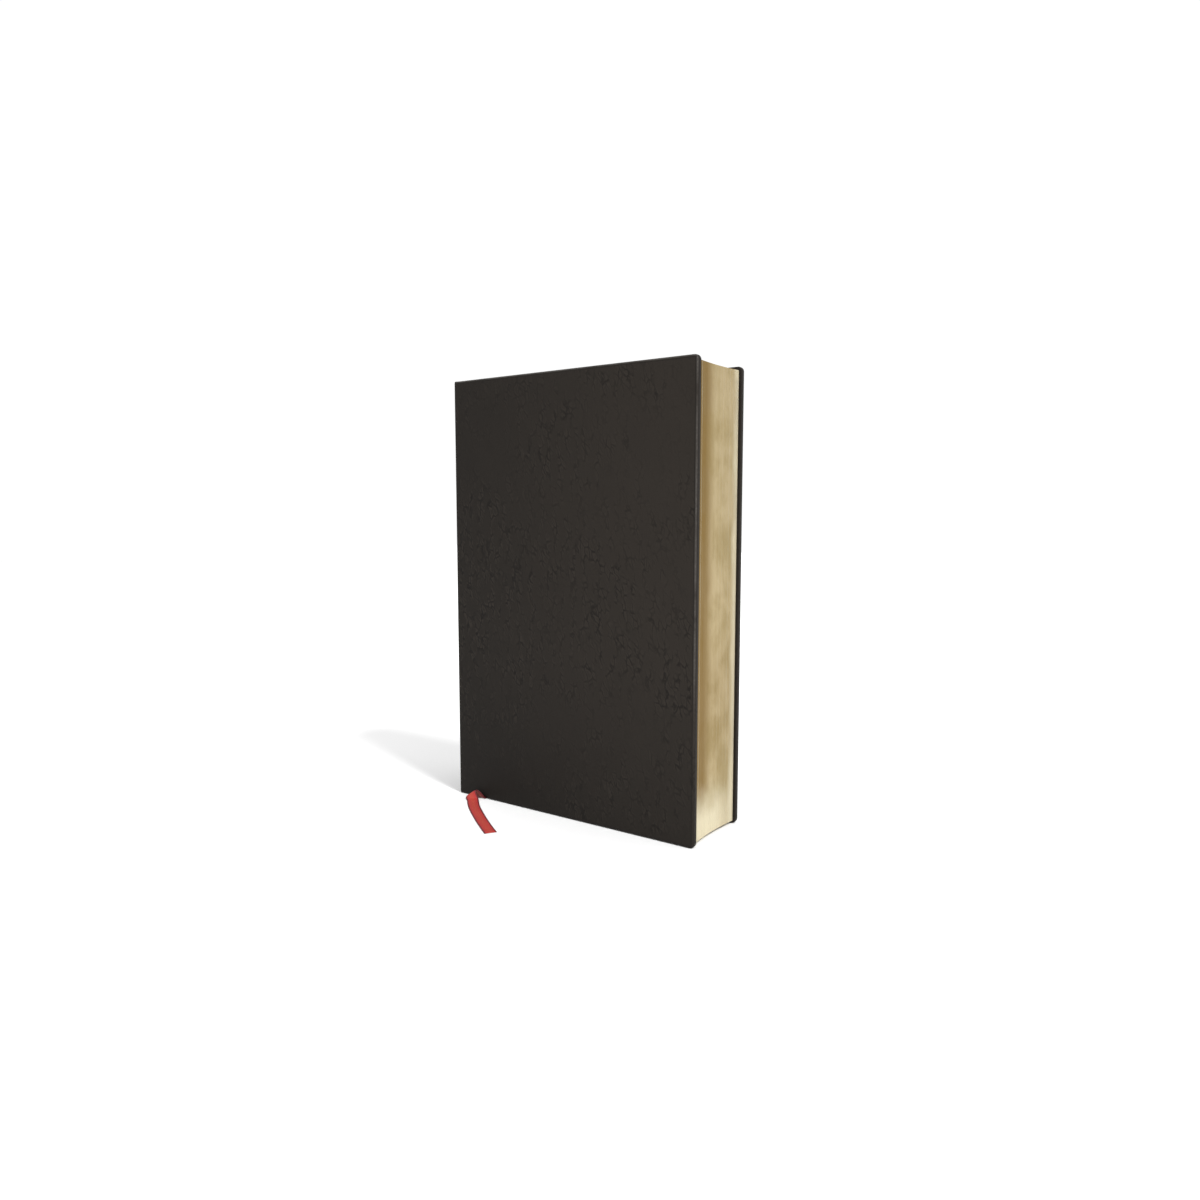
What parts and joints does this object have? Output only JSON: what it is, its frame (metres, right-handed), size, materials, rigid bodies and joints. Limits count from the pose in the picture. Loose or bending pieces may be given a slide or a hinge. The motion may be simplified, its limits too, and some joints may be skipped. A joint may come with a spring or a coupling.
{
  "type": "bible",
  "caption": "Upright leather-bound book with gilt page edges, hinged covers, a text block that fans open and a red ribbon marker.",
  "frame": {"origin": "centre of the footprint on which the closed book stands, at the covers' tail edges", "axes": "+Z from tail to head, +X from the spine to the fore-edge, +Y from the front cover to the rear cover"},
  "size_m": [0.1564, 0.0901, 0.235],
  "materials": {
    "cover_leather": "satin",
    "binders_board": "matt",
    "endpaper": "matt",
    "bible_paper_gilt": "gilt edges, satin",
    "kraft_paper": "matt",
    "gauze": "matt",
    "linen_thread": "matt",
    "silk_band": "silky",
    "ribbon_satin": "satin"
  },
  "bodies": {
    "root": {"gathering_12": "bible_paper_gilt", "map_leaves": "bible_paper_gilt", "spine_leather_rear": "cover_leather", "spine_inlay_rear": "kraft_paper", "kraft_lining_rear": "kraft_paper", "mull_rear": "gauze", "sewing_thread_rear": "linen_thread", "headband_rear": "silk_band", "tailband_rear": "silk_band", "rear_flyleaf": "endpaper"},
    "front_half": {"gathering_01": "bible_paper_gilt", "spine_leather_front": "cover_leather", "spine_inlay_front": "kraft_paper", "kraft_lining_front": "kraft_paper", "mull_front": "gauze", "sewing_thread_front": "linen_thread", "headband_front": "silk_band", "tailband_front": "silk_band", "ribbon_inner": "ribbon_satin", "front_flyleaf": "endpaper"},
    "front_cover": {"front_cover_leather": "cover_leather", "front_board": "binders_board", "front_infill_card": "binders_board", "front_pastedown": "endpaper", "ribbon_tail": "ribbon_satin"},
    "rear_cover": {"rear_cover_leather": "cover_leather", "rear_board": "binders_board", "rear_infill_card": "binders_board", "rear_pastedown": "endpaper"},
    "leaves_02": {"gathering_02": "bible_paper_gilt"},
    "leaves_03": {"gathering_03": "bible_paper_gilt"},
    "leaves_04": {"gathering_04": "bible_paper_gilt"},
    "leaves_05": {"gathering_05": "bible_paper_gilt"},
    "leaves_06": {"gathering_06": "bible_paper_gilt"},
    "leaves_07": {"gathering_07": "bible_paper_gilt"},
    "leaves_08": {"gathering_08": "bible_paper_gilt"},
    "leaves_09": {"gathering_09": "bible_paper_gilt"},
    "leaves_10": {"gathering_10": "bible_paper_gilt"},
    "leaves_11": {"gathering_11": "bible_paper_gilt"}
  },
  "joints": [
    {"name": "book_opening", "type": "hinge", "parent": "root", "child": "front_half", "pos_m": [-0.07835, 0, 0.1175], "axis": [0, 0, 1], "range_deg": [-179, 0]},
    {"name": "front_cover_joint", "type": "hinge", "parent": "front_half", "child": "front_cover", "pos_m": [-0.07715, -0.02415, 0.1175], "axis": [0, 0, 1], "range_deg": [-179, 0], "deforming": ["ribbon_tail"]},
    {"name": "rear_cover_joint", "type": "hinge", "parent": "root", "child": "rear_cover", "pos_m": [-0.07715, 0.02415, 0.1175], "axis": [0, 0, 1], "range_deg": [0, 179]},
    {"name": "leaves_02_turn", "type": "hinge", "parent": "root", "child": "leaves_02", "pos_m": [-0.07835, 0, 0.1175], "axis": [0, 0, 1], "range_deg": [-176.4, 0]},
    {"name": "leaves_03_turn", "type": "hinge", "parent": "root", "child": "leaves_03", "pos_m": [-0.07835, 0, 0.1175], "axis": [0, 0, 1], "range_deg": [-171.9, 0]},
    {"name": "leaves_04_turn", "type": "hinge", "parent": "root", "child": "leaves_04", "pos_m": [-0.07835, 0, 0.1175], "axis": [0, 0, 1], "range_deg": [-166.6, 0]},
    {"name": "leaves_05_turn", "type": "hinge", "parent": "root", "child": "leaves_05", "pos_m": [-0.07835, 0, 0.1175], "axis": [0, 0, 1], "range_deg": [-160.3, 0]},
    {"name": "leaves_06_turn", "type": "hinge", "parent": "root", "child": "leaves_06", "pos_m": [-0.07835, 0, 0.1175], "axis": [0, 0, 1], "range_deg": [-151.4, 0]},
    {"name": "leaves_07_turn", "type": "hinge", "parent": "root", "child": "leaves_07", "pos_m": [-0.07835, 0, 0.1175], "axis": [0, 0, 1], "range_deg": [-29.6, 0]},
    {"name": "leaves_08_turn", "type": "hinge", "parent": "root", "child": "leaves_08", "pos_m": [-0.07835, 0, 0.1175], "axis": [0, 0, 1], "range_deg": [-20.7, 0]},
    {"name": "leaves_09_turn", "type": "hinge", "parent": "root", "child": "leaves_09", "pos_m": [-0.07835, 0, 0.1175], "axis": [0, 0, 1], "range_deg": [-14.4, 0]},
    {"name": "leaves_10_turn", "type": "hinge", "parent": "root", "child": "leaves_10", "pos_m": [-0.07835, 0, 0.1175], "axis": [0, 0, 1], "range_deg": [-9.1, 0]},
    {"name": "leaves_11_turn", "type": "hinge", "parent": "root", "child": "leaves_11", "pos_m": [-0.07835, 0, 0.1175], "axis": [0, 0, 1], "range_deg": [-4.6, 0]}
  ],
  "couplings": [
    {"joint": "leaves_02_turn", "follows": "book_opening", "ratio": 0.98},
    {"joint": "leaves_03_turn", "follows": "book_opening", "ratio": 0.955},
    {"joint": "leaves_04_turn", "follows": "book_opening", "ratio": 0.925},
    {"joint": "leaves_05_turn", "follows": "book_opening", "ratio": 0.89},
    {"joint": "leaves_06_turn", "follows": "book_opening", "ratio": 0.84},
    {"joint": "leaves_07_turn", "follows": "book_opening", "ratio": 0.16},
    {"joint": "leaves_08_turn", "follows": "book_opening", "ratio": 0.11},
    {"joint": "leaves_09_turn", "follows": "book_opening", "ratio": 0.075},
    {"joint": "leaves_10_turn", "follows": "book_opening", "ratio": 0.045},
    {"joint": "leaves_11_turn", "follows": "book_opening", "ratio": 0.02}
  ]
}
